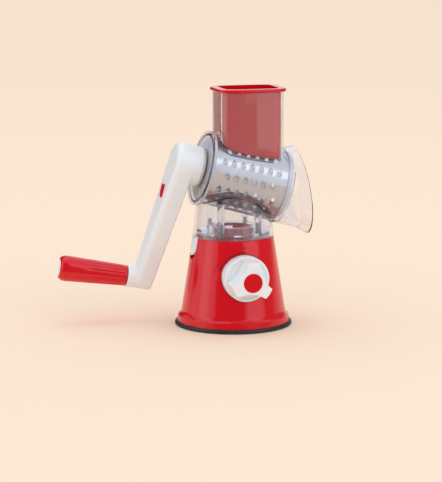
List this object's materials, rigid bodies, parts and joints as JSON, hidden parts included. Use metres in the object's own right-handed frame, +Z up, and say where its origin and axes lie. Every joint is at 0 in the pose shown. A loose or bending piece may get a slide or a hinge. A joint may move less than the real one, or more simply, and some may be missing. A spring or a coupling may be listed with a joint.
{
  "type": "rotary cheese grater",
  "caption": "Hand-cranked rotary grater: steel shredding drum in a clear housing with feed chute and spout, food pusher, crank with turning grip, on a conical suction base with lock knob.",
  "frame": {"origin": "middle of the rubber pad's resting face, on the surface it stands on", "axes": "+Z up, knob faces -Y, spout points to +X, crank on the -X side"},
  "size_m": [0.2544, 0.1368, 0.245],
  "materials": {
    "red_abs": "high gloss moulded ABS",
    "white_abs": "satin-gloss moulded ABS",
    "clear_plastic": "clear polished SAN",
    "steel_sheet": "polished stainless sheet",
    "steel_screw": "zinc-plated steel",
    "rubber": "matte black TPR",
    "grey_pom": "grey acetal",
    "cream_pom": "natural acetal",
    "dark_abs": "dark grey ABS"
  },
  "bodies": {
    "base": {"base_shell": "red_abs", "inner_frame": "dark_abs", "frame_screws": "steel_screw", "suction_pad": "rubber", "pad_ring": "dark_abs", "shaft_bush": "grey_pom", "latch_spring": "steel_screw", "stem_spring": "steel_screw"},
    "release": {"release_button": "white_abs"},
    "lock_knob": {"knob": "white_abs", "knob_cap": "red_abs", "knob_screw": "steel_screw", "cam_shaft": "grey_pom"},
    "stem": {"pull_stem": "grey_pom", "stem_plate": "steel_screw"},
    "housing": {"main_housing": "clear_plastic", "coupling_plate": "clear_plastic", "plate_screws": "steel_screw", "rear_bush": "white_abs"},
    "pusher": {"pusher": "red_abs"},
    "drum": {"drum_blade": "steel_sheet", "drum_rear_plate": "white_abs", "drum_front_ring": "white_abs"},
    "crank": {"arm_outer_shell": "white_abs", "arm_inner_shell": "white_abs", "drive_shaft": "grey_pom", "thrust_washer": "cream_pom", "arm_screws": "steel_screw", "grip_axle": "steel_screw", "button_spring": "steel_screw"},
    "crank_release": {"crank_button": "red_abs"},
    "grip": {"grip": "red_abs", "grip_end_cap": "white_abs"}
  },
  "joints": [
    {"name": "knob_turn", "type": "hinge", "parent": "base", "child": "lock_knob", "pos_m": [0, -0.054, 0.0552], "axis": [0, -1, 0], "range_deg": [0, 63]},
    {"name": "stem_drop", "type": "slide", "parent": "base", "child": "stem", "axis": [0, 0, -1], "range_m": [0, 0.0053], "deforming": ["suction_pad", "stem_spring"]},
    {"name": "release_press", "type": "slide", "parent": "base", "child": "release", "axis": [1, 0, 0], "range_m": [0, 0.003], "stiffness_N_per_m": 600, "springref_m": -0.002, "deforming": ["latch_spring"]},
    {"name": "housing_lift", "type": "slide", "parent": "base", "child": "housing", "axis": [0, 0, 1], "range_m": [0, 0.06]},
    {"name": "pusher_slide", "type": "slide", "parent": "housing", "child": "pusher", "axis": [0, 0, 1], "range_m": [0, 0.09]},
    {"name": "drum_spin", "type": "hinge", "parent": "housing", "child": "drum", "pos_m": [0, 0, 0.155], "axis": [0.97, 0, -0.2429], "continuous": true},
    {"name": "crank_pull", "type": "slide", "parent": "drum", "child": "crank", "axis": [-0.97, 0, 0.2429], "range_m": [0, 0.03]},
    {"name": "crank_button_press", "type": "slide", "parent": "crank", "child": "crank_release", "axis": [0.97, 0, -0.2429], "range_m": [0, 0.003], "stiffness_N_per_m": 500, "springref_m": -0.002, "deforming": ["button_spring"]},
    {"name": "grip_spin", "type": "hinge", "parent": "crank", "child": "grip", "pos_m": [-0.08755, 0.04434, 0.04417], "axis": [-0.9864, 0.0284, 0.1621], "continuous": true}
  ],
  "couplings": [
    {"joint": "stem_drop", "follows": "knob_turn", "m_per_rad": 0.004752}
  ]
}
